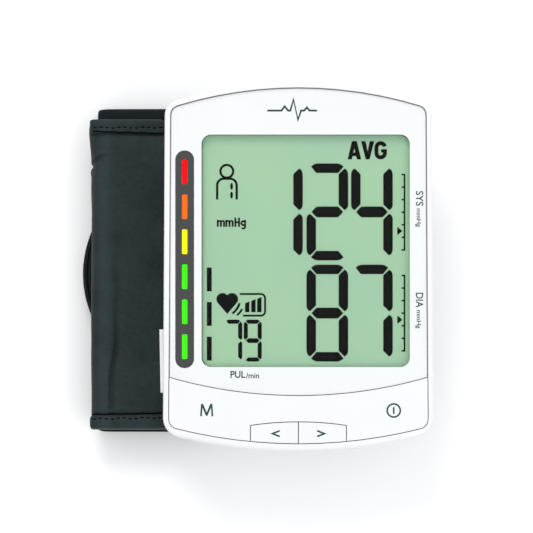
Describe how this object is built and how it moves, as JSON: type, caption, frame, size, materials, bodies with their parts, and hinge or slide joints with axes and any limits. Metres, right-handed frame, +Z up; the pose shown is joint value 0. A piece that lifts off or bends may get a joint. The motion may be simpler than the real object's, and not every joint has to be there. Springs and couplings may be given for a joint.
{
  "type": "upper arm blood pressure monitor",
  "caption": "Desk blood pressure monitor with a large tilted display, a coloured level strip, a rocking key panel, small keys and a folded arm cuff tucked under one side.",
  "frame": {"origin": "on the table, under the middle of the part's bounding box", "axes": "+X to the right of the face, +Y from the keys to the far end, +Z up from the table"},
  "size_m": [0.1578, 0.1666, 0.0631],
  "materials": {
    "white_shell": "satin moulded",
    "white_face": "satin moulded",
    "white_key": "satin moulded",
    "white_back": "fine texture",
    "clear_lens": "polished",
    "lcd_glass": "polarised display",
    "lcd_ink": "display segments",
    "dark_strip": "satin printed",
    "red_window": "translucent",
    "orange_window": "translucent",
    "yellow_window": "translucent",
    "green_window": "translucent",
    "printed_ink": "printed",
    "black_plastic": "moulded",
    "grey_plastic": "moulded",
    "circuit_board": "solder mask",
    "steel": "plain",
    "brass": "turned",
    "silicone": "translucent",
    "rubber": "matt",
    "battery_wrap": "printed sleeve",
    "cuff_fabric": "ribbed nylon",
    "cuff_back_fabric": "brushed loop",
    "stitching": "thread",
    "sewn_label": "woven"
  },
  "bodies": {
    "monitor": {"front_cover": "white_shell", "face_panel": "white_face", "indicator_strip": "dark_strip", "lcd_lens": "clear_lens", "lcd_panel": "lcd_glass", "lcd_frame": "black_plastic", "elastomer_connector": "silicone", "main_board": "circuit_board", "processor_chip": "black_plastic", "buzzer": "black_plastic", "pressure_sensor": "black_plastic", "rear_housing": "white_back", "battery_contact_near": "steel", "battery_contact_far": "steel", "pump_motor": "steel", "pump_head": "black_plastic", "air_manifold": "silicone", "exhaust_valve": "black_plastic", "pump_tube": "silicone", "socket_tube": "silicone", "air_socket": "grey_plastic", "power_jack": "black_plastic", "level_window_1": "red_window", "level_window_2": "orange_window", "level_window_3": "yellow_window", "level_window_4": "green_window", "level_window_5": "green_window", "level_window_6": "green_window", "memory_switch": "steel", "power_switch": "steel", "left_switch": "steel", "right_switch": "steel", "screw_1": "steel", "foot_1": "rubber", "battery_1": "battery_wrap", "screw_2": "steel", "foot_2": "rubber", "battery_2": "battery_wrap", "screw_3": "steel", "foot_3": "rubber", "battery_3": "battery_wrap", "screw_4": "steel", "foot_4": "rubber", "battery_4": "battery_wrap"},
    "key_rocker": {"key_panel": "white_key", "memory_switch_button": "black_plastic", "power_switch_button": "black_plastic"},
    "left_key": {"left_key": "white_key", "left_switch_button": "black_plastic"},
    "right_key": {"right_key": "white_key", "right_switch_button": "black_plastic"},
    "pump_rotor": {"pump_eccentric": "brass"},
    "valve": {"valve_plunger": "steel"},
    "battery_door": {"battery_door": "white_back"},
    "cuff": {"cuff_front_layer": "cuff_fabric", "cuff_back_layer": "cuff_back_fabric", "cuff_bladder": "rubber", "cuff_tail": "cuff_back_fabric", "cuff_air_port": "grey_plastic"}
  },
  "joints": [
    {"name": "key_rock", "type": "hinge", "parent": "monitor", "child": "key_rocker", "pos_m": [0.01785, -0.06416, 0.04704], "axis": [0, 0.9962, 0.0872], "range_deg": [-0.75, 0.75], "stiffness_Nm_per_rad": 5},
    {"name": "left_key_press", "type": "slide", "parent": "monitor", "child": "left_key", "axis": [0, 0.0872, -0.9962], "range_m": [0, 0.0008], "stiffness_N_per_m": 1500},
    {"name": "right_key_press", "type": "slide", "parent": "monitor", "child": "right_key", "axis": [0, 0.0872, -0.9962], "range_m": [0, 0.0008], "stiffness_N_per_m": 1500},
    {"name": "pump_spin", "type": "hinge", "parent": "monitor", "child": "pump_rotor", "pos_m": [0.00285, -0.0468, 0.0172], "axis": [1, 0, 0], "continuous": true},
    {"name": "valve_open", "type": "slide", "parent": "monitor", "child": "valve", "axis": [-1, 0, 0], "range_m": [0, 0.0012], "stiffness_N_per_m": 300},
    {"name": "battery_door_slide", "type": "slide", "parent": "monitor", "child": "battery_door", "axis": [0, 1, 0], "range_m": [0, 0.062]},
    {"name": "cuff_pull", "type": "slide", "parent": "monitor", "child": "cuff", "axis": [-1, 0, 0], "range_m": [0, 0.06]}
  ]
}
